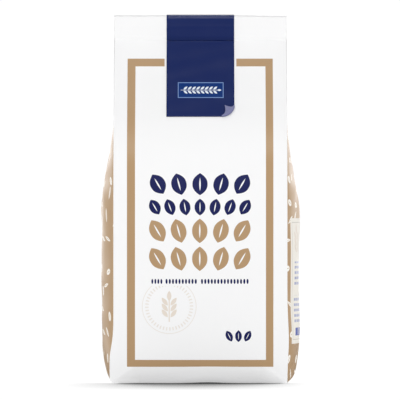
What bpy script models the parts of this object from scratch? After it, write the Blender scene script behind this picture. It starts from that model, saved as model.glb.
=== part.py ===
"""A shut side-gusset bag of rolled oats, standing on its block bottom, with a paper label over its top.

The bag is one skin of printed paper that is filled and glued shut, so it is one solid: a flat
rectangular base, front and back walls that swell over the oats, side gussets that swell below and
fold inwards above, and a flat upright fold at the top. The label is a strip of paper glued down the
front, over the top fold and down the back. Its lower right corner has come loose and curled up.

Sizes are in metres and +Z is up. The origin is the middle of the base, and the front faces -Y.
"""

import math

import bmesh
import bpy
import numpy as np

# Driving sizes of the bag
BAG_HEIGHT = 0.2340
PANEL_WIDTH = 0.110
BAG_DEPTH = 0.066
BELLY = 0.004
GUSSET_SWELL = 0.0081
FOLD_THICKNESS = 0.004
FOLD_HEIGHT = 0.0150
FOLD_SLUMP = 0.0005

# Heights where the shape changes
BELLY_TOP = 0.050
SWELL_FULL = 0.034
PLEAT_START = 0.104
SHOULDER_START = 0.138
SHOULDER_LENGTH = 0.034
SWELL_FADE_START = 0.155
FOLD_BASE = BAG_HEIGHT - FOLD_HEIGHT

# How full a wall and a gusset are across, as powers of the way from their middle to the fold edge
WALL_POWER = 3.0
GUSSET_POWER = 2.2

# The gusset rounds out of the base at once by a share of its swell, and keeps a share under the top fold
FOOT_ROUND = {-1: 0.40, 1: 0.50}
FOOT_ROUND_HEIGHT = 0.0025
TOP_SHARE = 0.22

# How much further in than half of its width the gusset's pleat is pulled
PLEAT_SLACK = 0.0035

# Each side's own unevenness: (size, height, spread) of a bulge of the fold edge and of a dip of the gusset
EDGE_BULGE = {-1: (0.0022, 0.0145, 0.012), 1: (0.0009, 0.028, 0.015)}
GUSSET_DIP = {-1: (0.0010, 0.142, 0.018), 1: (0.0022, 0.138, 0.020)}

# The front and back walls turn under to the base, in a mitre at each corner, and a share less in their middle
TURN_HEIGHT = 0.0118
TURN_DEPTH = 0.0052
TURN_RUN = 0.0172
TURN_POWER = 1.6
FLATTER_MIDDLE = (0.35, 0.0, 0.020)

# The label
LABEL_WIDTH = 0.0433
LABEL_FRONT_END = 0.1686
LABEL_BACK_END = 0.190
LABEL_THICKNESS = 0.0003
GLUE_GAP = 0.0003

# The label's curled corner: the arc that it is folded along, its turned-back tip, and its hollow sides
CURL_WIDTH = 0.0083
CURL_HEIGHT = 0.0072
CURL_TIP = (0.01535, 0.1754)
CURL_TIP_CUT = 0.08
CURL_HOLLOW = 0.0016
CURL_RISE = 0.0012
CURL_TIP_RISE = 0.0004

# How finely the shapes are cut
PANEL_COLUMNS = 18
GUSSET_COLUMNS = 10
TURN_RINGS = 8
BODY_RINGS = 10
SHOULDER_RINGS = 16
FOLD_RINGS = 3
FOLD_STEP = 0.0008
TOP_ANGLES = (25, 50, 72)
SLOPE_STEPS = 13
BACK_STEPS = 7
OVER_STEPS = 9
CURL_ROUND_STEPS = 9
CURL_INWARD_STEPS = 6
FLAT_ANGLE = math.radians(30)

PAPER_WHITE = (0.90, 0.90, 0.89, 1.0)
LABEL_NAVY = (0.016, 0.028, 0.115, 1.0)


def smooth(low, high, value):
    """0 below low, 1 above high, and an even S between them."""
    t = np.clip((value - low) / (high - low), 0.0, 1.0)
    return t * t * (3.0 - 2.0 * t)


def bump(shape, place):
    """A rounded bump of the given size, centre and spread, at a place."""
    size, centre, spread = shape
    return size * np.exp(-(((place - centre) / spread) ** 2))


def half_depth(z):
    """Half of the bag's depth: full over the oats, a round shoulder, then straight in to the top fold."""
    thin = FOLD_THICKNESS / 2
    straight_length = FOLD_BASE - SHOULDER_START - SHOULDER_LENGTH
    slope = (BAG_DEPTH / 2 - thin) / (SHOULDER_LENGTH / 2 + straight_length)
    bend = np.clip(z - SHOULDER_START, 0.0, SHOULDER_LENGTH)
    straight = np.maximum(z - SHOULDER_START - SHOULDER_LENGTH, 0.0)
    inward = slope * (bend**2 / (2 * SHOULDER_LENGTH) + straight)
    return np.maximum(BAG_DEPTH / 2 - inward, thin)


def half_width(z, side):
    """From the middle of a panel to its left (side -1) or right (+1) fold edge."""
    return PANEL_WIDTH / 2 + bump(EDGE_BULGE[side], z)


def belly(z):
    """How far the middle of a wall stands out past its fold edges: full over the oats, none at the top."""
    low = np.sin(np.clip(z / BELLY_TOP, 0.0, 1.0) * math.pi / 2)
    return BELLY * low * (1.0 - smooth(PLEAT_START, FOLD_BASE, z))


def slump(x, z):
    """How far the right end of the top fold has sunk."""
    return FOLD_SLUMP * smooth(0.4, 1.0, x / (PANEL_WIDTH / 2)) * smooth(FOLD_BASE, BAG_HEIGHT, z)


def wall_point(across, z, facing):
    """A point of the front (facing -1) or back (+1) wall; across is -1 to 1 between the fold edges."""
    width = half_width(z, 1 if across > 0 else -1)
    x = across * width
    corner = np.clip((width - abs(x)) / TURN_RUN, 0.0, 1.0)
    turn = TURN_DEPTH * np.maximum(corner - z / TURN_HEIGHT, 0.0) ** TURN_POWER
    turn *= 1.0 - bump(FLATTER_MIDDLE, x)
    depth = half_depth(z) + belly(z) * (1.0 - abs(across) ** WALL_POWER) - turn
    return x, facing * depth, z - slump(x, z)


def gusset_reach(z, side):
    """How far the middle of a gusset would stand out with no pleat: none at the base, full, then a fade."""
    slow = 1.0 - (1.0 - np.clip(z / SWELL_FULL, 0.0, 1.0)) ** 2
    quick = 1.0 - np.exp(-z / FOOT_ROUND_HEIGHT)
    foot = FOOT_ROUND[side] * quick + (1.0 - FOOT_ROUND[side]) * slow
    fade = 1.0 - (1.0 - TOP_SHARE) * smooth(SWELL_FADE_START, FOLD_BASE, z)
    return GUSSET_SWELL * foot * fade - bump(GUSSET_DIP[side], z)


def pleat_depth(z):
    """How far the gusset's middle crease is folded in: none over the oats, most just under the top fold."""
    rise = np.clip((z - PLEAT_START) / (FOLD_BASE - PLEAT_START), 0.0, 1.0)
    return (BAG_DEPTH / 2 + PLEAT_SLACK) * np.sin(rise * math.pi / 2) ** 3


def gusset_point(across, z, side):
    """A point of the left (side -1) or right (+1) gusset; across is -1 in front and 1 at the back."""
    edge = half_width(z, side)
    if z > FOLD_BASE:
        return side * edge, across * half_depth(z), z - slump(side * edge, z)
    reach = PANEL_WIDTH / 2 + gusset_reach(z, side) - edge
    out = reach * (1.0 - abs(across) ** GUSSET_POWER) - pleat_depth(z) * (1.0 - abs(across))
    return side * (edge + out), across * half_depth(z), z


def levels():
    """The heights of the bag's rings: close together where it turns under, pleats and folds."""
    turn = np.linspace(0.0, TURN_HEIGHT, TURN_RINGS)
    body = np.linspace(TURN_HEIGHT, SHOULDER_START, BODY_RINGS + 1)[1:]
    shoulder = np.linspace(SHOULDER_START, FOLD_BASE, SHOULDER_RINGS + 1)[1:]
    fold = np.linspace(FOLD_BASE + FOLD_STEP, BAG_HEIGHT - FOLD_THICKNESS / 2, FOLD_RINGS)
    return np.concatenate([turn, body, shoulder, fold])


def ring(z):
    """One closed section of the bag, anticlockwise from above, starting at the front left fold edge."""
    columns = np.sin(np.linspace(-math.pi / 2, math.pi / 2, PANEL_COLUMNS + 1))[:-1]
    creases = np.linspace(-1.0, 1.0, GUSSET_COLUMNS + 1)[:-1]
    front = [wall_point(u, z, -1) for u in columns]
    right = [gusset_point(v, z, 1) for v in creases]
    back = [wall_point(-u, z, 1) for u in columns]
    left = [gusset_point(-v, z, -1) for v in creases]
    return np.array(front + right + back + left, float)


def top_rings():
    """The rounded top of the fold: its last section drawn in along a quarter circle."""
    radius = FOLD_THICKNESS / 2
    last = ring(BAG_HEIGHT - radius)
    for angle in np.radians(TOP_ANGLES):
        section = last.copy()
        section[:, 1] *= math.cos(angle)
        section[:, 2] += radius * math.sin(angle)
        yield section


def new_object(name, mesh, collection, colour, roughness):
    """Links a mesh as an object with a plain material of its own."""
    material = bpy.data.materials.new(name)
    material.use_nodes = True
    shader = material.node_tree.nodes["Principled BSDF"]
    shader.inputs["Base Color"].default_value = colour
    shader.inputs["Roughness"].default_value = roughness
    mesh.materials.append(material)
    mesh.shade_smooth()
    mesh.set_sharp_from_angle(angle=FLAT_ANGLE)
    obj = bpy.data.objects.new(name, mesh)
    collection.objects.link(obj)
    return obj


def lofted_mesh(name, sections):
    """A closed mesh through sections that all have the same number of points, with a flat cap at each end."""
    shell = bmesh.new()
    loops = [[shell.verts.new(point) for point in section] for section in sections]
    count = len(loops[0])
    for lower, upper in zip(loops, loops[1:]):
        for i in range(count):
            j = (i + 1) % count
            shell.faces.new((lower[i], lower[j], upper[j], upper[i]))
    base = shell.faces.new(reversed(loops[0]))
    top = shell.faces.new(loops[-1])
    bmesh.ops.triangulate(shell, faces=[base, top])
    mesh = bpy.data.meshes.new(name)
    shell.to_mesh(mesh)
    shell.free()
    return mesh


def grid_mesh(name, points):
    """An open sheet through a grid of points, given as rows of columns."""
    sheet = bmesh.new()
    rows = [[sheet.verts.new(point) for point in row] for row in points]
    for lower, upper in zip(rows, rows[1:]):
        for i in range(len(lower) - 1):
            sheet.faces.new((lower[i], lower[i + 1], upper[i + 1], upper[i]))
    mesh = bpy.data.meshes.new(name)
    sheet.to_mesh(mesh)
    sheet.free()
    return mesh


def make_bag(collection):
    """The filled paper bag."""
    sections = [ring(z) for z in levels()] + list(top_rings())
    mesh = lofted_mesh("bag", sections)
    return new_object("bag", mesh, collection, PAPER_WHITE, 0.45)


def label_front_start(x):
    """The height of the label's lower front edge at x: level, then up round the curled corner's arc."""
    share = np.clip((x - (LABEL_WIDTH / 2 - CURL_WIDTH)) / CURL_WIDTH, 0.0, 1.0)
    return LABEL_FRONT_END + CURL_HEIGHT * (1.0 - np.sqrt(1.0 - share**2))


def label_path(x, start):
    """The line that the label's inner face follows at x: up the front, over the fold and down the back."""
    radius = FOLD_THICKNESS / 2
    front_z = np.concatenate([np.linspace(start, FOLD_BASE, SLOPE_STEPS), [BAG_HEIGHT - radius]])
    back_z = np.concatenate([[BAG_HEIGHT - radius], np.linspace(FOLD_BASE, LABEL_BACK_END, BACK_STEPS)])
    side = 1 if x > 0 else -1
    front = [wall_point(x / half_width(z, side), z, -1)[1:] for z in front_z]
    back = [wall_point(x / half_width(z, side), z, 1)[1:] for z in back_z]
    angles = np.linspace(0.0, math.pi, OVER_STEPS)[1:-1]
    over = [(-radius * math.cos(a), BAG_HEIGHT - radius + radius * math.sin(a)) for a in angles]
    line = np.array(front + over + back, float)
    along = np.gradient(line, axis=0)
    along /= np.linalg.norm(along, axis=1, keepdims=True)
    outward = np.stack([-along[:, 1], along[:, 0]], axis=1)
    return line + outward * GLUE_GAP, outward


def label_columns():
    """Positions across the label, closer together round the curled corner."""
    bend = LABEL_WIDTH / 2 - CURL_WIDTH
    plain = np.linspace(-LABEL_WIDTH / 2, bend, 6)
    arc = bend + CURL_WIDTH * np.sin(np.linspace(0.0, math.pi / 2, 7)[1:])
    return np.concatenate([plain, arc])


def curl_point(around, inward, rise):
    """A point of the curled corner: around runs along its fold, inward from there to the turned-back tip."""
    angle = around * math.pi / 2
    fold_x = LABEL_WIDTH / 2 - CURL_WIDTH + CURL_WIDTH * math.sin(angle)
    fold_z = LABEL_FRONT_END + CURL_HEIGHT * (1.0 - math.cos(angle))
    hollow = CURL_HOLLOW * 4.0 * inward * (1.0 - inward) * (2.0 * around - 1.0) ** 2
    x = fold_x * (1.0 - inward) + CURL_TIP[0] * inward + hollow * math.sqrt(0.5)
    z = fold_z * (1.0 - inward) + CURL_TIP[1] * inward - hollow * math.sqrt(0.5)
    path, outward = label_path(x, z)
    y, z = path[0] + outward[0] * (LABEL_THICKNESS + rise)
    return x, y, z


def make_curl(collection):
    """The turned-back corner, as a closed wedge that sinks a little into the label that it is joined to."""
    rounds = np.linspace(0.0, 1.0, CURL_ROUND_STEPS)
    inwards = np.linspace(0.0, 1.0 - CURL_TIP_CUT, CURL_INWARD_STEPS)
    curl = bmesh.new()
    faces = []
    for lifted in (False, True):
        rows = []
        for inward in inwards:
            rise = CURL_TIP_RISE + (CURL_RISE - CURL_TIP_RISE) * math.sqrt(1.0 - inward)
            height = rise if lifted else -LABEL_THICKNESS / 2
            rows.append([curl.verts.new(curl_point(a, inward, height)) for a in rounds])
        faces.append(rows)
    under, over = faces
    last = len(rounds) - 1
    for k in range(len(inwards) - 1):
        for i in range(last):
            curl.faces.new((over[k][i], over[k][i + 1], over[k + 1][i + 1], over[k + 1][i]))
            curl.faces.new((under[k][i], under[k + 1][i], under[k + 1][i + 1], under[k][i + 1]))
        curl.faces.new((under[k][0], over[k][0], over[k + 1][0], under[k + 1][0]))
        curl.faces.new((under[k][last], under[k + 1][last], over[k + 1][last], over[k][last]))
    for i in range(last):
        curl.faces.new((under[0][i], under[0][i + 1], over[0][i + 1], over[0][i]))
        curl.faces.new((under[-1][i], over[-1][i], over[-1][i + 1], under[-1][i + 1]))
    bmesh.ops.recalc_face_normals(curl, faces=curl.faces)
    mesh = bpy.data.meshes.new("label_curl")
    curl.to_mesh(mesh)
    curl.free()
    obj = bpy.data.objects.new("label_curl", mesh)
    collection.objects.link(obj)
    obj.hide_render = True
    obj.display_type = "WIRE"
    return obj


def make_label(collection, helpers):
    """The label strip, thickened outwards from its glued face, with its curled corner joined on."""
    columns = [label_path(x, label_front_start(x))[0] for x in label_columns()]
    rows = [
        [(x, *column[k]) for x, column in zip(label_columns(), columns)]
        for k in range(len(columns[0]))
    ]
    mesh = grid_mesh("top_label", rows)
    label = new_object("top_label", mesh, collection, LABEL_NAVY, 0.4)
    thicken = label.modifiers.new("paper thickness", "SOLIDIFY")
    thicken.thickness = LABEL_THICKNESS
    thicken.offset = 1.0
    thicken.use_even_offset = True
    join = label.modifiers.new("curled corner", "BOOLEAN")
    join.operation = "UNION"
    join.object = make_curl(helpers)
    return label


def main():
    for obj in list(bpy.data.objects):
        bpy.data.objects.remove(obj)
    pack = bpy.data.collections.new("bag of rolled oats")
    helpers = bpy.data.collections.new("helpers")
    bpy.context.scene.collection.children.link(pack)
    bpy.context.scene.collection.children.link(helpers)
    make_bag(pack)
    make_label(pack, helpers)


main()
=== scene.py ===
"""A shut, filled half-kilogram bag of rolled oats on a white studio floor, in soft light.

Lengths are in metres and +Z is up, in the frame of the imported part: the origin is the middle of the bag's
base, and the bag's front faces -Y.
"""

import math

import bpy
import numpy as np
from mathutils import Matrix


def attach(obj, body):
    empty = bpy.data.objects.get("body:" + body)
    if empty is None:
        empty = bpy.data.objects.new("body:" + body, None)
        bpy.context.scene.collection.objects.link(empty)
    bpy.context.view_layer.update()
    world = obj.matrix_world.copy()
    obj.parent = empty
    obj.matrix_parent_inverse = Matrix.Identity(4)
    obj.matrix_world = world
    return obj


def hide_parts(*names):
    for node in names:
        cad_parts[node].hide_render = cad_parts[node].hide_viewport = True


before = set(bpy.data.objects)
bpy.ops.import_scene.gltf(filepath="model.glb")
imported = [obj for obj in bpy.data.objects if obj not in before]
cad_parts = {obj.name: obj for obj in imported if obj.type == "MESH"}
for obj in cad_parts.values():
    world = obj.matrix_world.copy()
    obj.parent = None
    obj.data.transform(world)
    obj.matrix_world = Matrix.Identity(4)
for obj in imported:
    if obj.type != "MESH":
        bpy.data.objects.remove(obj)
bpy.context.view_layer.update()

# The filled bag
# One tube of white coated paper, printed all round, with its side gussets folded in and its foot folded flat
# and glued. The oats swell its walls, and its top is pressed flat, rolled over and stuck down.
BAG_HEIGHT = 0.2340
PANEL_WIDTH = 0.110
BAG_DEPTH = 0.066
BELLY = 0.004
BELLY_TOP = 0.050
GUSSET_SWELL = 0.0081
GUSSET_ROUNDNESS = 2.2
SWELL_FULL = 0.034
SWELL_FADE_START = 0.155
TOP_SHARE = 0.22
FOLD_THICKNESS = 0.004
FOLD_HEIGHT = 0.0150
FOLD_SLUMP = 0.0005
FOLD_BASE = BAG_HEIGHT - FOLD_HEIGHT
FOLD_CREASE = 0.0006
CREASE_FOOT = FOLD_BASE - 0.0012
CREASE_HEAD = FOLD_BASE + 0.0012
SHOULDER_START = 0.138
SHOULDER_LENGTH = 0.034
PLEAT_START = 0.104
PLEAT_SLACK = 0.0035
PRESSED_IN = 0.0012
PRESSED_RIM = 0.003
TURN_HEIGHT = 0.0118
TURN_DEPTH = 0.0052
TURN_RUN = 0.0172
TURN_POWER = 1.6
FOOT_DRAW = 0.0014
FOOT_DRAW_HEIGHT = 0.018
NOTCH_REACH = 0.008
NOTCH_HEIGHT = 0.014
EDGE_ROUND = 0.0014
EDGE_ROUND_DEPTH = 0.55
LEFT, RIGHT, FRONT, BACK = -1, 1, -1, 1

# How much of a gusset's swell comes in at once above the floor, and over what height
FOOT_ROUND = {LEFT: 0.40, RIGHT: 0.58}
FOOT_ROUND_HEIGHT = 0.0025

# Bumps, each as (size, place, spread): of the fold edges, the gussets, the top fold and the foot's front edge
EDGE_BULGE = {LEFT: (0.0024, 0.0145, 0.012), RIGHT: (0.0009, 0.028, 0.015)}
GUSSET_DIP = {LEFT: (0.0010, 0.142, 0.018), RIGHT: (0.0022, 0.138, 0.020)}
SEAL_RIDGE = (0.00004, 0.2268, 0.0010)
BASE_NOTCH = (0.0012, 0.0048, 0.012)
NOTCH_ROUND = (0.0030, 0.0040, 0.015)
FLATTER_MIDDLE = (0.35, 0.0, 0.020)

# The low relief's heights, and its creases and puckers as bumps across their lines
WALL_RIPPLE = 0.00016
SLOPE_RIPPLE = 0.00005
GUSSET_RIPPLE = 0.00032
SEAM_RISE = 0.00030
FLAP_RISE = 0.0005
FOOT_CREASE = (0.00030, 0.0, 0.0013)
SLANT_CREASE = (0.00030, 0.0, 0.0012)
MIDDLE_CREASE = (0.00035, 0.0, 0.0013)
PUCKER_RING = (0.00045, 0.017, 0.009)

# Where the relief lies: the back's seam, the gussets' slants and puckers, and the cosines of the slants
SEAM_PLACE = -0.0035
SEAM_HALF_WIDTH = 0.0065
SLANT_HEIGHT = 0.033
PUCKER_HEIGHT = 0.128
PUCKER_COUNT = 7.0
FOOT_CREASE_COSINE = 0.82
SLANT_COSINE = 0.7

# Ramps, each (from, to), up the bag or inwards from a fold edge, over which something comes in or fades out
LEFT_FOOT_RISE = (-0.0010, 0.0035)
OFF_EDGE = (0.0, 0.008)
WALL_RIPPLES = (0.012, 0.030), (0.150, 0.215)
GUSSET_RIPPLES = (0.006, 0.030), (0.170, 0.215)
SLOPE_RIPPLES_IN = (0.150, 0.190)
SLOPE_RIPPLES_OUT = (CREASE_FOOT - 0.004, CREASE_FOOT)
FOOT_CREASE_IN, FOOT_CREASE_OUT = (0.0, 0.0040), (0.0120, 0.0200)
MIDDLE_CREASE_REACH = (0.020, 0.060), (0.150, 0.180)
SEAM_REACH = (0.010, 0.013), (0.214, 0.219)
FLAP_FOOT = (FOLD_BASE - 0.0005, FOLD_BASE + 0.0005)
FLAP_HEAD = (0.2228, 0.2240)


def smooth(low, high, value):
    """0 below low, 1 above high, and an even S between them."""
    t = np.clip((value - low) / (high - low), 0.0, 1.0)
    return t * t * (3.0 - 2.0 * t)


def between(rise, fade, value):
    """An even S up from 0 to 1 over the ramp rise, times an even S back down to 0 over the ramp fade."""
    return smooth(*rise, value) * (1.0 - smooth(*fade, value))


def bump(shape, place):
    """A rounded bump (size, centre, spread): size * exp(-((place - centre) / spread)^2)."""
    size, centre, spread = shape
    return size * np.exp(-(((place - centre) / spread) ** 2))


def ripples(a, b, longest, seed):
    """Soft unevenness of about 1: nine sine waves over a and b, each of random turn, phase and length."""
    draw = np.random.default_rng(seed)
    total = 0.0
    for _ in range(9):
        turn, phase = draw.uniform(0.0, 2.0 * math.pi, 2)
        length = longest * draw.uniform(0.35, 1.0)
        along = (a * math.cos(turn) + b * math.sin(turn)) * 2.0 * math.pi / length
        total = total + np.sin(along + phase)
    return total / 3.0


def half_depth(z):
    """Half of the bag's depth: full over the oats, a round shoulder, then straight in to the top crease.

    Near the floor the walls draw in by FOOT_DRAW * (1 - z / FOOT_DRAW_HEIGHT)^2.
    """
    thin = FOLD_THICKNESS / 2 - FOLD_CREASE
    straight_length = CREASE_FOOT - SHOULDER_START - SHOULDER_LENGTH
    slope = (BAG_DEPTH / 2 - thin) / (SHOULDER_LENGTH / 2 + straight_length)
    bend = np.clip(z - SHOULDER_START, 0.0, SHOULDER_LENGTH)
    straight = np.maximum(z - SHOULDER_START - SHOULDER_LENGTH, 0.0)
    plain = np.maximum(BAG_DEPTH / 2 - slope * (bend**2 / (2 * SHOULDER_LENGTH) + straight), thin)
    plain = plain - FOOT_DRAW * np.maximum(1.0 - z / FOOT_DRAW_HEIGHT, 0.0) ** 2
    return plain + FOLD_CREASE * smooth(CREASE_FOOT, CREASE_HEAD, z) + bump(SEAL_RIDGE, z)


def half_width(z, side):
    """From the middle of a panel to a fold edge: half of the panel, and a low bulge of that side.

    The left bulge keeps its full size down to a quickly rounded foot.
    """
    size, centre, _ = EDGE_BULGE[LEFT]
    left = np.where(z < centre, size * smooth(*LEFT_FOOT_RISE, z), bump(EDGE_BULGE[LEFT], z))
    return PANEL_WIDTH / 2 + np.where(side > 0, bump(EDGE_BULGE[RIGHT], z), left)


def belly(z):
    """How far the middle of a wall stands out past its fold edges: a sine rise, then an S fade to the top."""
    low = np.sin(np.clip(z / BELLY_TOP, 0.0, 1.0) * math.pi / 2)
    return BELLY * low * (1.0 - smooth(PLEAT_START, FOLD_BASE, z))


def slump(x, z):
    """How far the right end of the top fold has sunk: an S to the right times an S up the fold."""
    return FOLD_SLUMP * smooth(0.4, 1.0, x / (PANEL_WIDTH / 2)) * smooth(FOLD_BASE, BAG_HEIGHT, z)


def notch(x, y):
    """How far the foot's front edge is pinched up off the floor: a bump across, fading out inwards."""
    return bump(BASE_NOTCH, x) * np.exp(-np.abs(y + BAG_DEPTH / 2) / NOTCH_REACH)


def wall_relief(x, z, facing):
    """What lies on a wall: ripples, the foot's slanting creases and, behind, the lap seam and rolled flap.

    Each is its height times the S ramps that bring it in and fade it out. A crease is a bump across its line.
    """
    from_edge = half_width(z, x) - np.abs(x)
    inner = smooth(*OFF_EDGE, from_edge)
    relief = WALL_RIPPLE * inner * between(*WALL_RIPPLES, z) * ripples(x, z, 0.070, 11 + facing)
    upper = smooth(*SLOPE_RIPPLES_IN, z) * (1.0 - 0.85 * smooth(*SLOPE_RIPPLES_OUT, z))
    relief = relief + SLOPE_RIPPLE * inner * upper * ripples(x, z * 1.6, 0.045, 21 + facing)
    off_crease = (z - from_edge * TURN_HEIGHT / TURN_RUN) * FOOT_CREASE_COSINE
    relief = relief + bump(FOOT_CREASE, off_crease) * between(FOOT_CREASE_IN, FOOT_CREASE_OUT, from_edge)
    if facing == BACK:
        seam = SEAM_RISE * smooth(0.0005, -0.0005, np.abs(x - SEAM_PLACE) - SEAM_HALF_WIDTH)
        relief = relief + seam * between(*SEAM_REACH, z)
        above_fold = smooth(*FLAP_FOOT, z) * smooth(0.0, 0.001, from_edge)
        relief = relief + FLAP_RISE * (smooth(*FLAP_HEAD, z) - 1.0) * above_fold
    return relief


def wall(across, z, facing):
    """The front or back wall: across its width, and out to its depth plus belly * (1 - |across|^3).

    Below the foot's slanting creases it turns under by TURN_DEPTH * (inwards - z / TURN_HEIGHT)^TURN_POWER.
    There, inwards runs from 0 at a fold edge to 1. A share of a quarter circle rounds the lower edge.
    """
    x = across * half_width(z, across)
    inwards = np.clip((1.0 - np.abs(across)) * half_width(z, across) / TURN_RUN, 0.0, 1.0)
    turn = TURN_DEPTH * np.maximum(inwards - z / TURN_HEIGHT, 0.0) ** TURN_POWER
    turn = turn * (1.0 - bump(FLATTER_MIDDLE, x))
    round_height = EDGE_ROUND + bump(NOTCH_ROUND, x)
    below = np.clip(1.0 - z / round_height, 0.0, 1.0)
    turn = turn + EDGE_ROUND_DEPTH * round_height * inwards * (1.0 - np.sqrt(1.0 - below**2))
    depth = half_depth(z) + belly(z) * (1.0 - np.abs(across) ** 3) - turn + wall_relief(x, z, facing)
    y = facing * depth
    foot = (1.0 - smooth(0.0, NOTCH_HEIGHT, z)) * notch(x, y)
    return np.stack([x, y, z - slump(x, z) + foot], axis=-1)


def gusset_relief(across, z, side):
    """What lies on a gusset: ripples, a middle crease, the foot's slanting creases, and the pleat's puckers.

    The puckers are a ring of cosine waves round a point of the middle crease, low on the pleat.
    """
    y = across * half_depth(z)
    inner = 1.0 - np.abs(across) ** 4
    relief = GUSSET_RIPPLE * between(*GUSSET_RIPPLES, z) * inner * ripples(y, z, 0.055, 31 + side)
    relief = relief - bump(MIDDLE_CREASE, y) * between(*MIDDLE_CREASE_REACH, z)
    off_slant = (z - SLANT_HEIGHT * (1.0 - np.abs(across))) * SLANT_COSINE
    relief = relief - bump(SLANT_CREASE, off_slant) * smooth(0.0, 0.006, z) * (1.0 - np.abs(across) ** 6)
    reach = np.hypot(y, z - PUCKER_HEIGHT)
    around = np.arctan2(z - PUCKER_HEIGHT, y)
    return relief + bump(PUCKER_RING, reach) * np.cos(PUCKER_COUNT * around + 0.8 * side) * inner


def gusset(across, z, side):
    """A side: out from the fold edge by reach * (1 - |across|^2.2), and in by pleat * (1 - |across|).

    The reach grows from none at the foot: a share of it by 1 - exp(-z / a), the rest by 1 - (1 - z / b)^2.
    """
    edge = half_width(z, side)
    slow = 1.0 - (1.0 - np.clip(z / SWELL_FULL, 0.0, 1.0)) ** 2
    foot = FOOT_ROUND[side] * (1.0 - np.exp(-z / FOOT_ROUND_HEIGHT)) + (1.0 - FOOT_ROUND[side]) * slow
    fade = 1.0 - (1.0 - TOP_SHARE) * smooth(SWELL_FADE_START, FOLD_BASE, z)
    reach = PANEL_WIDTH / 2 + GUSSET_SWELL * foot * fade - bump(GUSSET_DIP[side], z) - edge
    rise = np.clip((z - PLEAT_START) / (FOLD_BASE - PLEAT_START), 0.0, 1.0)
    pleat = (BAG_DEPTH / 2 + PLEAT_SLACK) * np.sin(rise * math.pi / 2) ** 3
    out = reach * (1.0 - np.abs(across) ** GUSSET_ROUNDNESS) - pleat * (1.0 - np.abs(across))
    out = out + gusset_relief(across, z, side) * smooth(0.0, 0.004, z)
    rim = 1.0 - smooth(BAG_HEIGHT - PRESSED_RIM, BAG_HEIGHT, z)
    out = np.where(z > FOLD_BASE, -PRESSED_IN * (1.0 - np.abs(across)) * rim, out)
    x = side * (edge + out)
    return np.stack([x, across * half_depth(z), z - slump(side * edge, z)], axis=-1)


# Cells across each sheet, and the heights of its rows of points, closest at the foot and the top crease
PANEL_CELLS = 116
GUSSET_CELLS = 76
SHARP = 0.00004
RINGS = np.concatenate(
    [
        np.linspace(0.0, 0.0045, 14)[:-1],
        np.linspace(0.0045, 0.013, 17)[:-1],
        np.linspace(0.013, 0.215, 160)[:-1],
        np.linspace(0.215, CREASE_FOOT - SHARP, 9),
        np.linspace(CREASE_FOOT + SHARP, FOLD_BASE, 4),
        np.linspace(FOLD_BASE + 0.0004, BAG_HEIGHT - FOLD_THICKNESS / 2, 30),
    ]
)
TOP_ANGLES = np.radians([18.0, 36.0, 54.0, 72.0])


def round_over(points):
    """The sheet's rounded top: its last row drawn in and up along a quarter circle of half the fold."""
    x, y, z = points[-1].T
    half = FOLD_THICKNESS / 2
    rows = [np.stack([x, y * math.cos(a), z + half * math.sin(a)], axis=-1) for a in TOP_ANGLES]
    return np.concatenate([points, rows])


# Each side's sheet, as rows of points, runs left to right as seen from outside the bag
even_steps = np.linspace(-1.0, 1.0, PANEL_CELLS + 1)
panel_steps = 0.65 * even_steps + 0.35 * np.sin(even_steps * math.pi / 2)
gusset_steps = np.linspace(-1.0, 1.0, GUSSET_CELLS + 1)
panel_u, panel_z = np.meshgrid(panel_steps, RINGS)
gusset_v, gusset_z = np.meshgrid(gusset_steps, RINGS)
sheets = [
    round_over(wall(panel_u, panel_z, FRONT)),
    round_over(gusset(gusset_v, gusset_z, RIGHT)),
    round_over(wall(-panel_u, panel_z, BACK)),
    round_over(gusset(-gusset_v, gusset_z, LEFT)),
]

# How far each point lies along the paper: up it, and across its sheet, which a gusset measures at one height
MEASURED_AT = 0.080
up_paper = np.concatenate([RINGS, RINGS[-1] + FOLD_THICKNESS / 2 * TOP_ANGLES])
crest_paper = RINGS[-1] + FOLD_THICKNESS / 4 * math.pi
level_line = gusset(gusset_steps, np.full(GUSSET_CELLS + 1, MEASURED_AT), RIGHT)
level_steps = np.hypot(*np.diff(level_line[:, :2], axis=0).T)
gusset_paper = np.concatenate([[0.0], np.cumsum(level_steps)])
GUSSET_PAPER_WIDTH = float(gusset_paper[-1])
across_paper = [
    sheets[0][:, :, 0],
    np.broadcast_to(gusset_paper, sheets[1].shape[:2]),
    -sheets[2][:, :, 0],
    np.broadcast_to(gusset_paper, sheets[3].shape[:2]),
]

# The sheets share their end columns, which makes a closed tube, and the crest closes it to a line
tube = np.concatenate([sheet[:, :-1] for sheet in sheets], axis=1)
row_count, ring_count = tube.shape[:2]
crest = sheets[0][-1].copy()
crest[:, 1] = 0.0
crest[:, 2] = sheets[0][len(RINGS) - 1][:, 2] + FOLD_THICKNESS / 2

# The underside is a net between the foot's four edges: straight lines from front to back plus straight lines
# from left to right, less what the corners alone would give. The outer flap lies on the floor, and the folds
# that it doesn't cover are a paper's thickness higher.
FLAP_EDGE = 0.0085
FLAP_STEP = 0.0006
UNDER_FLAP_RISE = 0.00030
FOLD_LINE = (0.00015, 0.0, 0.0010)
to_back = np.linspace(0.0, 1.0, GUSSET_CELLS + 1)[None, :]
to_right = (panel_steps[:, None] + 1.0) / 2
front_foot, right_foot, back_foot, left_foot = (sheet[0] for sheet in sheets)
lengthwise = (1 - to_back)[..., None] * front_foot[:, None] + to_back[..., None] * back_foot[::-1][:, None]
crosswise = (1 - to_right)[..., None] * left_foot[::-1][None] + to_right[..., None] * right_foot[None]
corners = (
    ((1 - to_right) * (1 - to_back))[..., None] * front_foot[0]
    + (to_right * (1 - to_back))[..., None] * front_foot[-1]
    + (to_right * to_back)[..., None] * back_foot[0]
    + ((1 - to_right) * to_back)[..., None] * back_foot[-1]
)
foot = lengthwise + crosswise - corners
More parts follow.
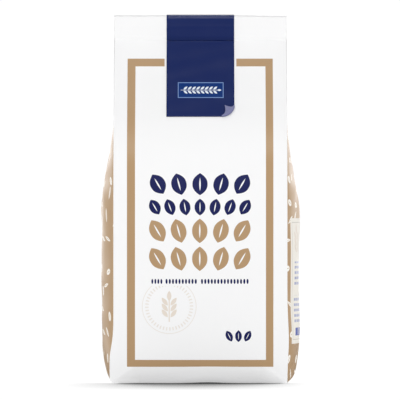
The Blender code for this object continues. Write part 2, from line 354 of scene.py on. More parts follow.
inside = np.minimum(np.minimum(to_right, 1 - to_right), np.minimum(to_back, 1 - to_back))
under_flap = smooth(-FLAP_STEP, FLAP_STEP, foot[..., 1] - FLAP_EDGE)
mitre = np.abs(np.abs(foot[..., 0]) - (PANEL_WIDTH / 2 - (BAG_DEPTH / 2 - np.abs(foot[..., 1]))))
foot[..., 2] += smooth(0.0, 0.04, inside) * (UNDER_FLAP_RISE * under_flap + bump(FOLD_LINE, mitre))

# Faces as numbers of points, with where each corner lies on the paper and on which sheet
points = np.concatenate([tube.reshape(-1, 3), crest, foot[1:-1, 1:-1].reshape(-1, 3)])
crest_first = row_count * ring_count
foot_first = crest_first + PANEL_CELLS + 1
FOOT_SHEET = 4
face_points, face_paper, face_sheet = [], [], []


def add_faces(numbers, paper, sheet):
    """Adds an array of faces, given as point numbers and as paper places of their corners, on one sheet."""
    corners_each = numbers.shape[-1]
    face_points.append(numbers.reshape(-1, corners_each))
    face_paper.append(paper.reshape(-1, 2))
    face_sheet.append(np.full(numbers.size // corners_each, sheet))


def cells(grid):
    """The corners of every cell of a grid of rows: here, next column, one row up there, one row up here."""
    return np.stack([grid[:-1, :-1], grid[:-1, 1:], grid[1:, 1:], grid[1:, :-1]], axis=2)


start = 0
for number, (sheet, paper) in enumerate(zip(sheets, across_paper)):
    columns = (start + np.arange(sheet.shape[1])) % ring_count
    numbers = np.arange(row_count)[:, None] * ring_count + columns
    place = np.stack([paper, np.broadcast_to(up_paper[:, None], paper.shape)], axis=-1)
    add_faces(cells(numbers), cells(place), number)
    start += sheet.shape[1] - 1

    top, place_top = numbers[-1], place[-1]
    place_crest = np.stack([place_top[:, 0], np.full(len(place_top), crest_paper)], axis=-1)
    if number in (0, 2):
        order = np.arange(PANEL_CELLS + 1) if number == 0 else np.arange(PANEL_CELLS, -1, -1)
        band = np.stack([top, crest_first + order])
        add_faces(cells(band), cells(np.stack([place_top, place_crest])), number)
    else:
        end = np.full(GUSSET_CELLS, crest_first + (PANEL_CELLS if number == 1 else 0))
        place_end = (place_crest[:-1] + place_crest[1:]) / 2
        place_fan = np.stack([place_top[:-1], place_top[1:], place_end], axis=1)
        add_faces(np.stack([top[:-1], top[1:], end], axis=1), place_fan, number)

foot_numbers = np.zeros((PANEL_CELLS + 1, GUSSET_CELLS + 1), int)
inner_numbers = np.arange((PANEL_CELLS - 1) * (GUSSET_CELLS - 1)).reshape(PANEL_CELLS - 1, GUSSET_CELLS - 1)
foot_numbers[1:-1, 1:-1] = foot_first + inner_numbers
foot_numbers[:, 0] = np.arange(PANEL_CELLS + 1)
foot_numbers[-1, :] = PANEL_CELLS + np.arange(GUSSET_CELLS + 1)
foot_numbers[:, -1] = (PANEL_CELLS + GUSSET_CELLS + np.arange(PANEL_CELLS + 1))[::-1]
foot_numbers[0, :] = ((2 * PANEL_CELLS + GUSSET_CELLS + np.arange(GUSSET_CELLS + 1)) % ring_count)[::-1]
foot_place = cells(foot[..., :2].transpose(1, 0, 2))[..., ::-1, :]
add_faces(cells(foot_numbers.T)[..., ::-1], foot_place, FOOT_SHEET)

# Where each sheet lies on the bake map: (left, bottom, scale from metres, turned a quarter)
BAKE_PLACES = [
    (0.005, 0.005, 4.00, False),
    (0.470, 0.005, 2.55, False),
    (0.660, 0.005, 2.55, False),
    (0.470, 0.620, 2.10, True),
    (0.470, 0.790, 2.10, False),
]


def new_piece(name, mesh):
    """Puts a mesh in the scene as a smooth-shaded object of that name, riding on the part's one body."""
    mesh.update()
    mesh.polygons.foreach_set("use_smooth", np.ones(len(mesh.polygons), bool))
    piece = bpy.data.objects.new(name, mesh)
    bpy.context.scene.collection.objects.link(piece)
    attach(piece, "root")
    return piece


mesh = bpy.data.meshes.new("paper_bag")
mesh.from_pydata(points, [], [face for group in face_points for face in group.tolist()])
paper_place = np.concatenate(face_paper)
sheet_of_face = np.concatenate(face_sheet)
corner_counts = np.concatenate([np.full(len(group), group.shape[1]) for group in face_points])
sheet_of_corner = np.repeat(sheet_of_face, corner_counts)
mesh.uv_layers.new(name="paper").data.foreach_set("uv", paper_place.astype(np.float32).ravel())
bake_place = np.zeros_like(paper_place)
for number, (left, bottom, scale, turned) in enumerate(BAKE_PLACES):
    mine = sheet_of_corner == number
    here = paper_place[mine]
    here = (here - here.min(0)) * scale
    bake_place[mine] = (here[:, ::-1] if turned else here) + (left, bottom)
mesh.uv_layers.new(name="OFBake").data.foreach_set("uv", bake_place.astype(np.float32).ravel())
mesh.attributes.new("sheet", "FLOAT", "FACE").data.foreach_set("value", sheet_of_face.astype(np.float32))
bag = new_piece("paper_bag", mesh)
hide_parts("bag")

# The width over which the edge of a printed shape fades out
PRINT_EDGE = 0.00012


class Field:
    """A number, colour or place that varies over a surface: a shader socket, whose operators add nodes.

    a & b is the smaller of the two, and a | b the larger.
    """

    def __init__(self, tree, socket=None):
        self.tree = tree
        self.socket = socket

    def node(self, kind, settings, sockets, output=0):
        """Adds a node: first its settings, then its sockets by number or name, each a value or a link."""
        made = self.tree.nodes.new(kind)
        for name, value in settings.items():
            setattr(made, name, value)
        for key, value in sockets.items():
            if isinstance(value, Field):
                self.tree.links.new(value.socket, made.inputs[key])
            else:
                made.inputs[key].default_value = value
        return Field(self.tree, made.outputs[output])

    def math(self, operation, *values):
        """Adds a Math node on the values given."""
        return self.node("ShaderNodeMath", {"operation": operation}, dict(enumerate(values)))

    def __add__(self, other):
        return self.math("ADD", self, other)

    def __radd__(self, other):
        return self.math("ADD", other, self)

    def __sub__(self, other):
        return self.math("SUBTRACT", self, other)

    def __rsub__(self, other):
        return self.math("SUBTRACT", other, self)

    def __mul__(self, other):
        return self.math("MULTIPLY", self, other)

    def __rmul__(self, other):
        return self.math("MULTIPLY", other, self)

    def __truediv__(self, other):
        return self.math("DIVIDE", self, other)

    def __pow__(self, other):
        return self.math("POWER", self, other)

    def __abs__(self):
        return self.math("ABSOLUTE", self)

    def __and__(self, other):
        return self.math("MINIMUM", self, other)

    def __or__(self, other):
        return self.math("MAXIMUM", self, other)

    def fraction(self):
        """What is left of this over the whole number below it."""
        return self.math("FRACT", self)

    def covered(self, soft=PRINT_EDGE):
        """1 where this is above 0 and 0 where it is below, with an even ramp as wide as soft between them."""
        sockets = {"Value": self, "From Min": -soft / 2, "From Max": soft / 2}
        return self.node("ShaderNodeMapRange", {"clamp": True}, sockets)

    def part(self, axis):
        """One number of this place: its X, Y or Z."""
        return self.node("ShaderNodeSeparateXYZ", {}, {0: self}, axis)

    def noise(self, scale, detail):
        """Soft random clouds of about 0.5 at this place."""
        return self.node("ShaderNodeTexNoise", {}, {"Vector": self, "Scale": scale, "Detail": detail})

    def colours(self, low, high):
        """The colour low where this is 0, high where it is 1, and a mixture between them."""
        return self.node("ShaderNodeMix", {"data_type": "RGBA"}, {0: self, 6: low, 7: high}, output=2)

    def feed(self, shader, name):
        """Links this to a socket of the shader."""
        self.tree.links.new(self.socket, shader.inputs[name])


def new_material(piece, name):
    """Gives a piece a material of its own, and returns an empty field in its node tree, and its shader."""
    material = bpy.data.materials.new(name)
    material.use_nodes = True
    piece.data.materials.append(material)
    return Field(material.node_tree), material.node_tree.nodes["Principled BSDF"]


def ink(red, green, blue):
    """A colour as it looks, 0 to 255 a channel, as the linear colour that a shader takes."""
    channels = [((c / 255 + 0.055) / 1.055) ** 2.4 if c > 10 else c / 255 / 12.92 for c in (red, green, blue)]
    return (*channels, 1.0)


def box(a, b, left, right, low, high):
    """How far a place lies inside a rectangle: the least of its distances to the sides, below 0 outside."""
    across = (right - left) / 2 - abs(a - (left + right) / 2)
    return across & ((high - low) / 2 - abs(b - (low + high) / 2))


def lens(along, beside, half_length, half_width, soft=PRINT_EDGE):
    """A lens pointed at both ends: beside < half_width * (1 - (along / half_length)^2)."""
    return (half_width * (1 - (along / half_length) ** 2.0) - beside).covered(soft)


def grain_fan(a, b, left, right, low, high, count, spread):
    """A row of plump oat grains, one to a cell, that lean out from the row's middle by up to spread degrees.

    Each is pointed at both ends, u + v^2.4 < 1, with u and v the distances from its axes as shares of its
    half width and half length. A lens along its middle is left out as a groove.
    """
    pitch = (right - left) / count
    wide, long = 0.36 * pitch, (high - low) / 2
    cell = (a - left) / pitch
    lean = (cell.math("FLOOR", cell) - (count - 1) / 2) * (math.radians(spread) * 2 / (count - 1))
    sine, cosine = lean.math("SINE", lean), lean.math("COSINE", lean)
    p, q = (cell.fraction() - 0.5) * pitch, b - (low + high) / 2
    u, v = abs(p * cosine - q * sine) / wide, abs(q * cosine + p * sine) / long
    soft = PRINT_EDGE / wide
    groove = lens(v, u, 0.6, 0.10, soft)
    return (1 - u - v**2.4).covered(soft) * (1 - groove) * box(a, b, left, right, low, high).covered()


def seed_line(a, b, left, right, low, high, count):
    """A line of small upright seeds, one to a cell: the ovals (u / w)^2 + (v / l)^2 < 1."""
    pitch = (right - left) / count
    u = (((a - left) / pitch).fraction() - 0.5) / 0.32
    v = (b - (low + high) / 2) / ((high - low) / 2)
    return (1 - u**2.0 - v**2.0).covered(0.2) * box(a, b, left, right, low, high).covered()


def stripes(along, start, pitch, share):
    """Even stripes: 1 over a share of every pitch from the start."""
    return (share - ((along - start) / pitch).fraction()).covered(PRINT_EDGE / pitch)


def grain(a, b, centre, turn, length, width):
    """One slim grain: a lens of that length and width, turned about its centre."""
    da, db = a - centre[0], b - centre[1]
    along = da * math.sin(turn) + db * math.cos(turn)
    beside = da * math.cos(turn) - db * math.sin(turn)
    return lens(along, abs(beside), length / 2, width / 2)


def oat_ear(a, b, centre, size):
    """An ear of oats as a plain figure: a stalk, a grain at its tip, and three mirrored pairs of grains.

    Every measure is a share of its size: the stalk's width and ends, each grain's place, length and width.
    """
    side = abs(a - centre[0])
    figure = box(side, b, -1.0, 0.020 * size, centre[1] - 0.52 * size, centre[1] + 0.30 * size).covered()
    figure = figure | grain(side, b, (0.0, centre[1] + 0.36 * size), 0.0, 0.36 * size, 0.15 * size)
    for level in (0.17, -0.03, -0.23):
        middle = (0.15 * size, centre[1] + level * size)
        figure = figure | grain(side, b, middle, math.radians(38), 0.34 * size, 0.14 * size)
    return figure


# The print: inks laid flat under a clear satin coat. In front are a tan frame, rows of grains and a pale
# roundel, behind are a frame, a row and small lines, and the tan gussets are strewn with pale grains.
PAPER_WHITE = ink(244, 244, 244)
TAN = ink(179, 147, 109)
NAVY = ink(4, 16, 84)
PALE_BEIGE = ink(226, 216, 204)
FAINT_BEIGE = ink(232, 227, 221)
CREAM = ink(246, 242, 234)
FIELD_WHITE = ink(236, 232, 223)
BORDER_GREY = ink(196, 190, 180)
GREY_BLUE = ink(160, 166, 196)
STRONG_BLUE = ink(58, 80, 168)

# On every sheet, a runs across the paper and b up it
bag_nodes, shader = new_material(bag, "printed_paper")
paper_uv = bag_nodes.node("ShaderNodeUVMap", {"uv_map": "paper"}, {})
a, b = paper_uv.part("X"), paper_uv.part("Y")
sheet = bag_nodes.node("ShaderNodeAttribute", {"attribute_name": "sheet"}, {}, "Fac")
on_front = (0.5 - sheet).covered(0.01)
on_right = (0.5 - abs(sheet - 1.0)).covered(0.01)
on_back = (0.5 - abs(sheet - 2.0)).covered(0.01)
on_foot = (sheet - 3.5).covered(0.01)

# The frame on both panels, open where the label crosses it. Rectangles are (left, right, low, high).
FRAME_OUTSIDE = (-0.0464, 0.0461, 0.0106, 0.2061)
FRAME_INSIDE = (-0.0413, 0.0414, 0.0150, 0.2011)
FRAME_GAP = (-0.0228, 0.0229, 0.150, 0.240)
frame_band = box(a, b, *FRAME_OUTSIDE) & (0 - box(a, b, *FRAME_INSIDE))
frame_ink = frame_band.covered() * (1 - box(a, b, *FRAME_GAP).covered())

# The front's rows, from the top down: a rectangle and a count each, and how far the outer grains lean
NAVY_FANS = (-0.0335, 0.0330, 0.1190, 0.1330, 5, 30), (-0.0335, 0.0330, 0.1062, 0.1168, 7, 30)
TAN_FANS = (-0.0338, 0.0330, 0.0888, 0.1042, 5, 30), (-0.0338, 0.0330, 0.0712, 0.0866, 5, 30)
SEED_ROW = (-0.0313, -0.0237, 4), (-0.0224, -0.0019, 10), (0.0000, 0.0308, 15)
SEED_FOOT, SEED_HEAD = 0.0630, 0.0662
LOW_FAN = (0.0153, 0.0328, 0.0263, 0.0338, 3, 26)
navy_rows = grain_fan(a, b, *NAVY_FANS[0]) | grain_fan(a, b, *NAVY_FANS[1])
tan_rows = grain_fan(a, b, *TAN_FANS[0]) | grain_fan(a, b, *TAN_FANS[1])
seeds = [seed_line(a, b, left, right, SEED_FOOT, SEED_HEAD, count) for left, right, count in SEED_ROW]
small_row = seeds[0] | seeds[1] | seeds[2]
low_row = grain_fan(a, b, *LOW_FAN)

# The pale roundel: a line, a ring of ticks below the small row, and an ear of oats
ROUNDEL = (-0.0197, 0.0487)
ROUNDEL_RADIUS = 0.0170
ROUNDEL_LINE = 0.00022
ROUNDEL_TOP = 0.0618
TICK_RADIUS = 0.0141
TICK_HALF_LENGTH = 0.0011
TICK_COUNT = 44
TICK_SHARE = 0.42
EAR_SIZE = 0.0185
from_middle = ((a - ROUNDEL[0]) ** 2.0 + (b - ROUNDEL[1]) ** 2.0) ** 0.5
roundel_line = (ROUNDEL_LINE - abs(from_middle - ROUNDEL_RADIUS)).covered()
around = a.math("ARCTAN2", b - ROUNDEL[1], a - ROUNDEL[0]) * (TICK_COUNT / (2 * math.pi))
ticks = (TICK_HALF_LENGTH - abs(from_middle - TICK_RADIUS)).covered()
ticks = ticks * (TICK_SHARE - around.fraction()).covered(0.06)
below_row = (ROUNDEL_TOP - b).covered()
roundel_ear = oat_ear(a, b, ROUNDEL, EAR_SIZE)

# The back's heading of grains, its small dashed lines, and a ruled table
HEADING_FAN = (-0.0335, 0.0330, 0.1640, 0.1740, 7, 30)
LINES_PLACE = (-0.033, 0.033, 0.112, 0.157)
LINE_PITCH = 0.0042
TABLE_PLACE = (-0.033, 0.033, 0.026, 0.098)
TABLE_COLUMNS = (-0.030, -0.004, 0.026, 0.097), (0.018, 0.030, 0.026, 0.097)
TABLE_PITCH = 0.0080
RULE_WIDTH = 0.00020
heading = grain_fan(a, b, *HEADING_FAN)
lines = stripes(b, LINES_PLACE[2], LINE_PITCH, 0.36) * box(a, b, *LINES_PLACE).covered()
dashes = stripes(a, -0.033, 0.0110, 0.90) | stripes(a, -0.031, 0.0173, 0.80)
table = box(a, b, *TABLE_PLACE)
table_rules = stripes(b, TABLE_PLACE[2], TABLE_PITCH, 0.045) * table.covered()
table_rules = table_rules | (RULE_WIDTH - abs(table)).covered()
table_columns = box(a, b, *TABLE_COLUMNS[0]).covered() | box(a, b, *TABLE_COLUMNS[1]).covered()
table_bars = stripes(b, TABLE_PLACE[2] + 0.0030, TABLE_PITCH, 0.22) * table_columns

wall_colour = (on_front * below_row * (roundel_line | ticks)).colours(PAPER_WHITE, FAINT_BEIGE)
wall_colour = (on_front * roundel_ear).colours(wall_colour, PALE_BEIGE)
wall_colour = (frame_ink | on_front * tan_rows | on_back * table_rules).colours(wall_colour, TAN)
wall_colour = (on_back * (lines * dashes | table_bars)).colours(wall_colour, GREY_BLUE)
navy_ink = on_front * (navy_rows | small_row | low_row) | on_back * heading
wall_colour = navy_ink.colours(wall_colour, NAVY)

# Grains on the gussets lie one to a cell of an uneven net, each turned by its cell's own random number. Their
# sizes are in cells: half the length and half the width, of a grain and then of its groove.
NET_CELL = 0.0140
NET_TOP = 0.210
SLIM_FROM = 0.35
ROUND_GRAIN, ROUND_GROOVE = (0.22, 0.135), (0.15, 0.016)
SLIM_GRAIN, SLIM_GROOVE = (0.33, 0.075), (0.22, 0.012)
scaled = {0: paper_uv, "Scale": 1 / NET_CELL}
in_cells = bag_nodes.node("ShaderNodeVectorMath", {"operation": "SCALE"}, scaled)
net_settings = {"voronoi_dimensions": "2D", "feature": "F1"}
net_sockets = {"Vector": in_cells, "Scale": 1.0, "Randomness": 0.65}
draw = bag_nodes.node("ShaderNodeTexVoronoi", net_settings, net_sockets, "Color")
middle = bag_nodes.node("ShaderNodeTexVoronoi", net_settings, net_sockets, "Position")
away = bag_nodes.node("ShaderNodeVectorMath", {"operation": "SUBTRACT"}, {0: in_cells, 1: middle})
turn = bag_nodes.node("ShaderNodeSeparateColor", {}, {0: draw}, "Red") * (2 * math.pi)
kind = bag_nodes.node("ShaderNodeSeparateColor", {}, {0: draw}, "Green")
sine, cosine = turn.math("SINE", turn), turn.math("COSINE", turn)
along = away.part("X") * cosine + away.part("Y") * sine
beside = abs(away.part("Y") * cosine - away.part("X") * sine)
round_grain = (1 - (along / ROUND_GRAIN[0]) ** 2.0 - (beside / ROUND_GRAIN[1]) ** 2.0).covered(0.10)
round_grain = round_grain * (1 - lens(along, beside, *ROUND_GROOVE, 0.010))
slim_grain = lens(along, beside, *SLIM_GRAIN, 0.010) * (1 - lens(along, beside, *SLIM_GROOVE, 0.010))
is_slim = (kind - SLIM_FROM).covered(0.01)
strewn = (is_slim * slim_grain + (1 - is_slim) * round_grain) * (NET_TOP - b).covered(0.001)
gusset_colour = strewn.colours(TAN, CREAM)

# The right gusset's white field: a thin border, an ear of oats, small dashed lines and one strong line
FIELD_PLACE = (0.0050, GUSSET_PAPER_WIDTH - 0.0050, 0.0249, 0.1045)
BORDER_INSET = 0.0027
BORDER_WIDTH = 0.00022
DASHES_PLACE = (0.0112, GUSSET_PAPER_WIDTH - 0.0112, 0.0385, 0.0770)
DASHES_GAP = (0.0, 1.0, 0.0556, 0.0610)
STRONG_PLACE = (0.0130, 0.0290, 0.0300, 0.0350)
field = box(a, b, *FIELD_PLACE)
field_border = (BORDER_WIDTH - abs(field - BORDER_INSET)).covered()
field_dashes = stripes(a, DASHES_PLACE[0], 0.0046, 0.84) * stripes(b, DASHES_PLACE[2], 0.0034, 0.50)
field_dashes = field_dashes * (1 - box(a, b, *DASHES_GAP).covered()) * box(a, b, *DASHES_PLACE).covered()
strong_line = stripes(a, STRONG_PLACE[0], 0.0080, 0.80) * box(a, b, *STRONG_PLACE).covered()
field_ear = oat_ear(a, b, (0.0165, 0.0900), 0.0200)
gusset_colour = (on_right * field.covered()).colours(gusset_colour, FIELD_WHITE)
gusset_colour = (on_right * field_border).colours(gusset_colour, BORDER_GREY)
gusset_colour = (on_right * field_ear).colours(gusset_colour, PALE_BEIGE)
gusset_colour = (on_right * field_dashes).colours(gusset_colour, GREY_BLUE)
gusset_colour = (on_right * strong_line).colours(gusset_colour, STRONG_BLUE)
gusset_colour = (b - (FOLD_BASE - 0.001)).covered().colours(gusset_colour, PAPER_WHITE)

printed = (on_front | on_back).colours(gusset_colour, wall_colour)
printed = on_foot.colours(printed, PAPER_WHITE)

# The paper's own look: faint clouds in its white, a fine fibre, and soft dimples where flakes press on it
FIBRE_HEIGHT = 0.000012
DIMPLE_HEIGHT = 0.00005
body_place = bag_nodes.node("ShaderNodeTexCoord", {}, {}, "Object")
cloud = body_place.noise(55.0, 3.0)
fibre = body_place.noise(2600.0, 2.0)
dimple = body_place.noise(150.0, 1.0)
tint = ((cloud - 0.5) * 0.5 + 0.5).colours(ink(251, 251, 252), ink(255, 255, 255))
multiply = {"data_type": "RGBA", "blend_type": "MULTIPLY"}
bag_nodes.node("ShaderNodeMix", multiply, {0: 1.0, 6: printed, 7: tint}, 2).feed(shader, "Base Color")
brightness = bag_nodes.node("ShaderNodeRGBToBW", {}, {0: printed})
unprinted = ((brightness - 0.5) * 2.5 & 1.0) | 0.0
(0.34 + 0.06 * cloud + 0.36 * unprinted).feed(shader, "Roughness")
shader.inputs["Specular IOR Level"].default_value = 0.32
height = fibre * FIBRE_HEIGHT + dimple * DIMPLE_HEIGHT
bumped = {"Strength": 0.6, "Distance": 1.0, "Height": height}
bag_nodes.node("ShaderNodeBump", {}, bumped).feed(shader, "Normal")

# The label
# A strip of navy satin paper, gummed down the front, over the rolled top and down the back to hold it shut.
# Its lower right corner has come unstuck, and an elliptic arc bounds what is still flat there.
LABEL_WIDTH = 0.0431
LABEL_FRONT_END = 0.1686
LABEL_BACK_END = 0.190
LABEL_LIFT = 0.00022
LABEL_THICKNESS = 0.00022
CURL_WIDTH = 0.0081
CURL_HEIGHT = 0.0070
LABEL_NAVY = ink(18, 35, 89)
FIELD_BLUE = ink(0, 46, 112)
FIELD_LINE = ink(120, 150, 200)
EAR_WHITE = ink(226, 233, 241)


def label_start(x):
    """The height of the label's lower front edge: level, then an elliptic arc up round the missing corner."""
    share = np.clip((x - (LABEL_WIDTH / 2 - CURL_WIDTH)) / CURL_WIDTH, 0.0, 1.0)
    return LABEL_FRONT_END + CURL_HEIGHT * (1.0 - np.sqrt(1.0 - share**2))


def over_the_top(x, lift):
    """Rows of points up the front wall, over the top in a half circle and down the back, all lifted off it.

    The lift is along the normal of each line, which is its own direction turned by a quarter.
    """
    fold_top = BAG_HEIGHT - FOLD_THICKNESS / 2
    start = label_start(x)[None, :]
    below, above = CREASE_FOOT - SHARP, CREASE_FOOT + SHARP
    fold = above + (fold_top - above) * np.linspace(0.0, 1.0, 30)[:, None] + 0 * start
    front_slope = start + (below - start) * np.linspace(0.0, 1.0, 90)[:, None]
    back_slope = below - (below - LABEL_BACK_END) * np.linspace(0.0, 1.0, 50)[:, None] + 0 * start
    front_z = np.concatenate([front_slope, fold])
    back_z = np.concatenate([fold[::-1], back_slope])
    wide = np.broadcast_to(x, front_z.shape)
    front = wall(wide / half_width(front_z, wide), front_z, FRONT)
    wide = np.broadcast_to(x, back_z.shape)
    back = wall(wide / half_width(back_z, wide), back_z, BACK)
    angle = np.linspace(0.0, math.pi, 14)[1:-1, None]
    radius = (back[0, :, 1] - front[-1, :, 1]) / 2
    middle = (back[0] + front[-1]) / 2
    top_y = middle[:, 1] - radius * np.cos(angle)
    top_z = middle[:, 2] + radius * np.sin(angle)
    top = np.stack([middle[:, 0] + 0 * angle, top_y, top_z], axis=-1)
    line = np.concatenate([front, top, back])
    along = np.gradient(line[..., 1:], axis=0)
    along /= np.linalg.norm(along, axis=-1, keepdims=True)
    line[..., 1] -= along[..., 1] * lift
    line[..., 2] += along[..., 0] * lift
    return line


def closed_sheet(name, under, over):
    """A thin closed sheet between two grids of points: both faces, and a strip round their four edges."""
    rows, columns = over.shape[:2]
    numbers = np.arange(rows * columns).reshape(rows, columns)
    rim = np.concatenate([numbers[0, :-1], numbers[:-1, -1], numbers[-1, :0:-1], numbers[:0:-1, 0]])
    other = rim + rows * columns
    strip = np.stack([np.roll(rim, -1), rim, other, np.roll(other, -1)], axis=-1)
    faces = [cells(numbers).reshape(-1, 4), cells(numbers + rows * columns).reshape(-1, 4)[:, ::-1], strip]
    mesh = bpy.data.meshes.new(name)
    both = np.concatenate([over.reshape(-1, 3), under.reshape(-1, 3)])
    mesh.from_pydata(both, [], np.concatenate(faces).tolist())
    return mesh


arc_start = LABEL_WIDTH / 2 - CURL_WIDTH
arc_steps = np.sin(np.linspace(0.0, math.pi / 2, 30))
level_x = np.linspace(-LABEL_WIDTH / 2, arc_start, 44)[:-1]
label_x = np.concatenate([level_x, arc_start + CURL_WIDTH * arc_steps])
inner_face = over_the_top(label_x, LABEL_LIFT)
outer_face = over_the_top(label_x, LABEL_LIFT + LABEL_THICKNESS)
label = new_piece("top_label", closed_sheet("top_label", inner_face, outer_face))
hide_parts("top_label")

# In front it has a blue field with a pale line round it, and on that a white ear of oats that lies along it
BLUE_FIELD = (-0.0143, 0.0147, 0.1808, 0.1908)
FIELD_LINE_WIDTH = 0.00045
EAR_LEVEL = 0.1858
EAR_PITCH = 0.0027
EAR_PAIRS_PLACE = (-0.0108, 0.0108, 0.182, 0.190)
EAR_STALK = (-0.0125, 0.0108, -1, 0.00013)
label_nodes, shader = new_material(label, "label_paper")
place = label_nodes.node("ShaderNodeTexCoord", {}, {}, "Object")
a, depth, b = place.part("X"), place.part("Y"), place.part("Z")
in_front = (0 - depth).covered(0.0001)
blue_field = box(a, b, *BLUE_FIELD)
ear_side = abs(b - EAR_LEVEL)
ear_a = ((a - EAR_PAIRS_PLACE[0]) / EAR_PITCH).fraction() * EAR_PITCH
ear_pairs = grain(ear_a, ear_side, (EAR_PITCH / 2, 0.0013), math.radians(52), 0.0031, 0.0013)
ear_pairs = ear_pairs * box(a, b, *EAR_PAIRS_PLACE).covered()
ear_stalk = box(a, ear_side, *EAR_STALK).covered()
ear_tip = grain(a, b, (0.0120, EAR_LEVEL), math.radians(90), 0.0026, 0.0012)
navy = (in_front * blue_field.covered()).colours(LABEL_NAVY, FIELD_LINE)
navy = (in_front * (blue_field - FIELD_LINE_WIDTH).covered()).colours(navy, FIELD_BLUE)
navy = (in_front * (ear_pairs | ear_stalk | ear_tip)).colours(navy, EAR_WHITE)
navy.feed(shader, "Base Color")
(0.22 + 0.06 * place.noise(90.0, 2.0)).feed(shader, "Roughness")
shader.inputs["Specular IOR Level"].default_value = 0.26
bumped = {"Strength": 0.6, "Distance": 1.0, "Height": place.noise(1800.0, 2.0) * FIBRE_HEIGHT}
label_nodes.node("ShaderNodeBump", {}, bumped).feed(shader, "Normal")

# The label's curled corner
# The unstuck corner of the same paper, rolled over along the arc and lying back on the strip, so that its
# paler gummed side faces out.
CURL_ROLL = 0.0006
CURL_INSET = 0.8
CURL_HOLLOW = 0.0016
HOLLOW_ACROSS, HOLLOW_DOWN = 0.75, 0.65
CURL_TIP = (0.01535, 0.1754)
CURL_TIP_RISE = 0.0005
CURL_THICKNESS = 0.0002
ROLL_SHARE = 0.22
CURL_DARK, CURL_LIGHT = ink(96, 99, 140), ink(116, 118, 160)


def curled_corner(lift):
    """The turned-back corner: a half-circle roll from the arc, then back to its tip, with hollow sides.

    It is laid on the wall's surface and raised along the normal of the slope under it.
    """
    around, inward = np.meshgrid(np.linspace(0.0, 1.0, 33), np.linspace(0.0, 1.0, 41), indexing="ij")
    angle = around * math.pi / 2
    inset = CURL_ROLL * CURL_INSET
    fold_x = arc_start + (CURL_WIDTH - inset) * np.sin(angle)
    fold_z = LABEL_FRONT_END + inset + (CURL_HEIGHT - inset) * (1.0 - np.cos(angle))
    rolled = np.clip(inward / ROLL_SHARE, 0.0, 1.0) * math.pi
    back = np.clip((inward - ROLL_SHARE) / (1.0 - ROLL_SHARE), 0.0, 1.0)
    out = (CURL_ROLL + lift) * np.sin(rolled) * (1 - back)
    hollow = CURL_HOLLOW * 4 * back * (1 - back) * (2 * around - 1) ** 2
    x = fold_x * (1 - back) + CURL_TIP[0] * back + hollow * HOLLOW_ACROSS + out * np.sin(angle)
    z = fold_z * (1 - back) + CURL_TIP[1] * back - hollow * HOLLOW_DOWN - out * np.cos(angle)
    rise = CURL_ROLL * (1 - np.cos(rolled)) + CURL_TIP_RISE * back**2 - lift * np.cos(rolled)
    on_wall = wall(x / half_width(z, x), z, FRONT)
    lean = math.atan2(BAG_DEPTH / 2, FOLD_BASE - SHOULDER_START)
    on_wall[..., 1] -= (LABEL_LIFT + LABEL_THICKNESS + rise) * math.cos(lean)
    on_wall[..., 2] += (LABEL_LIFT + LABEL_THICKNESS + rise) * math.sin(lean)
    return on_wall


curl_faces = curled_corner(-CURL_THICKNESS / 2), curled_corner(CURL_THICKNESS / 2)
curl = new_piece("label_curl", closed_sheet("label_curl", *curl_faces))

curl_nodes, shader = new_material(curl, "label_back")
streak = curl_nodes.node("ShaderNodeTexCoord", {}, {}, "Object").noise(700.0, 3.0)
streak.colours(CURL_DARK, CURL_LIGHT).feed(shader, "Base Color")
shader.inputs["Roughness"].default_value = 0.5

# The camera
# Straight at the front, level with the bag's middle, through a long lens.
CAMERA_PLACE = (-0.00025, -3.033, 0.116)
LENS_LENGTH = 427.2
camera_data = bpy.data.cameras.new("camera")
camera_data.sensor_width = 36.0
camera_data.lens = LENS_LENGTH
camera = bpy.data.objects.new("camera", camera_data)
camera.location = CAMERA_PLACE
camera.rotation_euler = (math.pi / 2, 0, 0)
bpy.context.scene.collection.objects.link(camera)
bpy.context.scene.camera = camera
bpy.context.scene.view_settings.view_transform = "Standard"

# The studio
# A white sweep: a bright room, a floor that glows as bright, with a painted contact shadow in its glow close
# to what stands on it and a painted bounce light towards the bag, and softboxes all round. The last of them
# hangs high up and adds nothing but the sheen along the folded top.
ROOM_LIGHT = 0.24
ROOM_SEEN = 0.78
ROOM_HELD_BACK = 0.12
FLOOR_HALF = 3
FLOOR_STRENGTH = 1.02
FLOOR_BASE = (0.04, 0.04, 0.04, 1.0)
BLACK, WHITE = (0.0, 0.0, 0.0, 1.0), (1.0, 1.0, 1.0, 1.0)
world = bpy.data.worlds.new("studio")
world.use_nodes = True
background = world.node_tree.nodes["Background"]
world_nodes = Field(world.node_tree)
to_camera = world_nodes.node("ShaderNodeLightPath", {}, {}, "Is Camera Ray")
to_gloss = world_nodes.node("ShaderNodeLightPath", {}, {}, "Is Glossy Ray")
(ROOM_LIGHT + ROOM_SEEN * to_camera - ROOM_HELD_BACK * to_gloss).feed(background, "Strength")
background.inputs["Color"].default_value = WHITE
bpy.context.scene.world = world

floor_mesh = bpy.data.meshes.new("floor")
floor_corners = [(x * FLOOR_HALF, y * FLOOR_HALF, 0) for x, y in ((-1, -1), (1, -1), (1, 1), (-1, 1))]
floor_mesh.from_pydata(floor_corners, [], [(0, 1, 2, 3)])
floor = bpy.data.objects.new("floor", floor_mesh)
bpy.context.scene.collection.objects.link(floor)
floor_nodes, shader = new_material(floor, "white_floor")

# The floor glows, and its glow carries a painted shadow: dimmer where what stands on it hides the sky above
# and behind, and fully bright beside the bag. To other rays it gives a painted bounce light with the same
# shadow, less to gloss.
SHADOW_REACH = 0.15
SKY_TILT = math.radians(60)
SKY_TURN_LEFT = math.radians(20)
SKY_TURN_RIGHT = math.radians(38)
DARKEST_SKY, SKY_RANGE = 0.35, 0.52
CLEAR_DEPTH, CLEAR_DEPTH_RAMP = -0.050, 0.028
CLEAR_SIDE, CLEAR_SIDE_RAMP = 0.050, 0.006
PAINTED_BOUNCE_LEAST = 0.56
GLOSS_HELD_BACK = 0.80


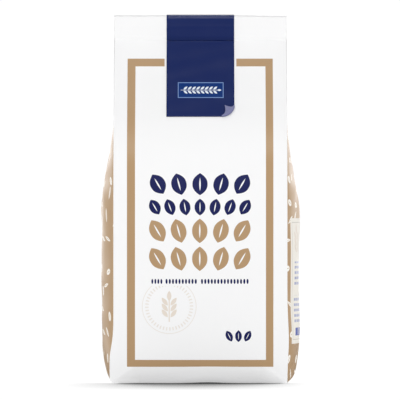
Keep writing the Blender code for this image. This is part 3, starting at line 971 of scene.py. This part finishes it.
def open_sky(turn):
    """How open the sky is round a direction that tilts backwards, turned left or right from straight back."""
    flat = math.sin(SKY_TILT)
    towards = {0: flat * math.sin(turn), 1: flat * math.cos(turn), 2: math.cos(SKY_TILT)}
    sockets = {"Distance": SHADOW_REACH, "Normal": floor_nodes.node("ShaderNodeCombineXYZ", {}, towards)}
    return floor_nodes.node("ShaderNodeAmbientOcclusion", {"samples": 32}, sockets, "AO")


seen = floor_nodes.node("ShaderNodeLightPath", {}, {}, "Is Camera Ray")
mirrored = floor_nodes.node("ShaderNodeLightPath", {}, {}, "Is Glossy Ray")
# Painted shadow: the floor's emission is cut where the bag hides the sky from it
glow_with_painted_shadow = ((open_sky(-SKY_TURN_LEFT) | open_sky(SKY_TURN_RIGHT)) - DARKEST_SKY) / SKY_RANGE
place = floor_nodes.node("ShaderNodeTexCoord", {}, {}, "Object")
behind_front = (place.part("Y") - CLEAR_DEPTH) / CLEAR_DEPTH_RAMP
beside_bag = (abs(place.part("X")) - CLEAR_SIDE) / CLEAR_SIDE_RAMP
glow_with_painted_shadow = ((glow_with_painted_shadow | behind_front & beside_bag) & 1.0) | 0.0
# Painted bounce light: what the glowing floor gives the bag, darker close to it and held back from gloss
painted_bounce = (PAINTED_BOUNCE_LEAST + (1 - PAINTED_BOUNCE_LEAST) * glow_with_painted_shadow) * (1 - GLOSS_HELD_BACK * mirrored)
glow_with_painted_shadow = seen * glow_with_painted_shadow + (1 - seen) * painted_bounce
glow_with_painted_shadow.colours(BLACK, WHITE).feed(shader, "Emission Color")
shader.inputs["Emission Strength"].default_value = FLOOR_STRENGTH
shader.inputs["Base Color"].default_value = FLOOR_BASE
shader.inputs["Roughness"].default_value = 1.0
shader.inputs["Specular IOR Level"].default_value = 0.0


def softbox(name, elevation, azimuth, distance, wide, tall, brightness):
    """An area light that faces the bag's middle; its power is brightness * pi * its area."""
    light = bpy.data.lights.new(name, "AREA")
    light.shape = "RECTANGLE"
    light.size, light.size_y = wide, tall
    light.energy = brightness * math.pi * wide * tall
    lamp = bpy.data.objects.new(name, light)
    up, around = math.radians(elevation), math.radians(azimuth)
    flat = distance * math.cos(up)
    lamp.location = (flat * math.sin(around), -flat * math.cos(around), 0.12 + distance * math.sin(up))
    lamp.rotation_euler = (math.pi / 2 - up, 0, around)
    bpy.context.scene.collection.objects.link(lamp)
    lamp.visible_camera = False
    return lamp


softbox("front_strip", 26, 0, 1.6, 1.5, 0.45, 6.25)
softbox("top_box", 79, 0, 1.6, 0.9, 0.5, 2.4)
softbox("left_box", 6, -98, 1.6, 1.0, 1.0, 3.0)
softbox("right_box", 6, 98, 1.6, 1.0, 1.0, 3.0)
softbox("back_box", 5, 180, 2.0, 3.6, 1.4, 2.4)
sheen_box = softbox("sheen_box", 87, 0, 1.6, 1.2, 0.5, 11.0)
sheen_box.visible_diffuse = False
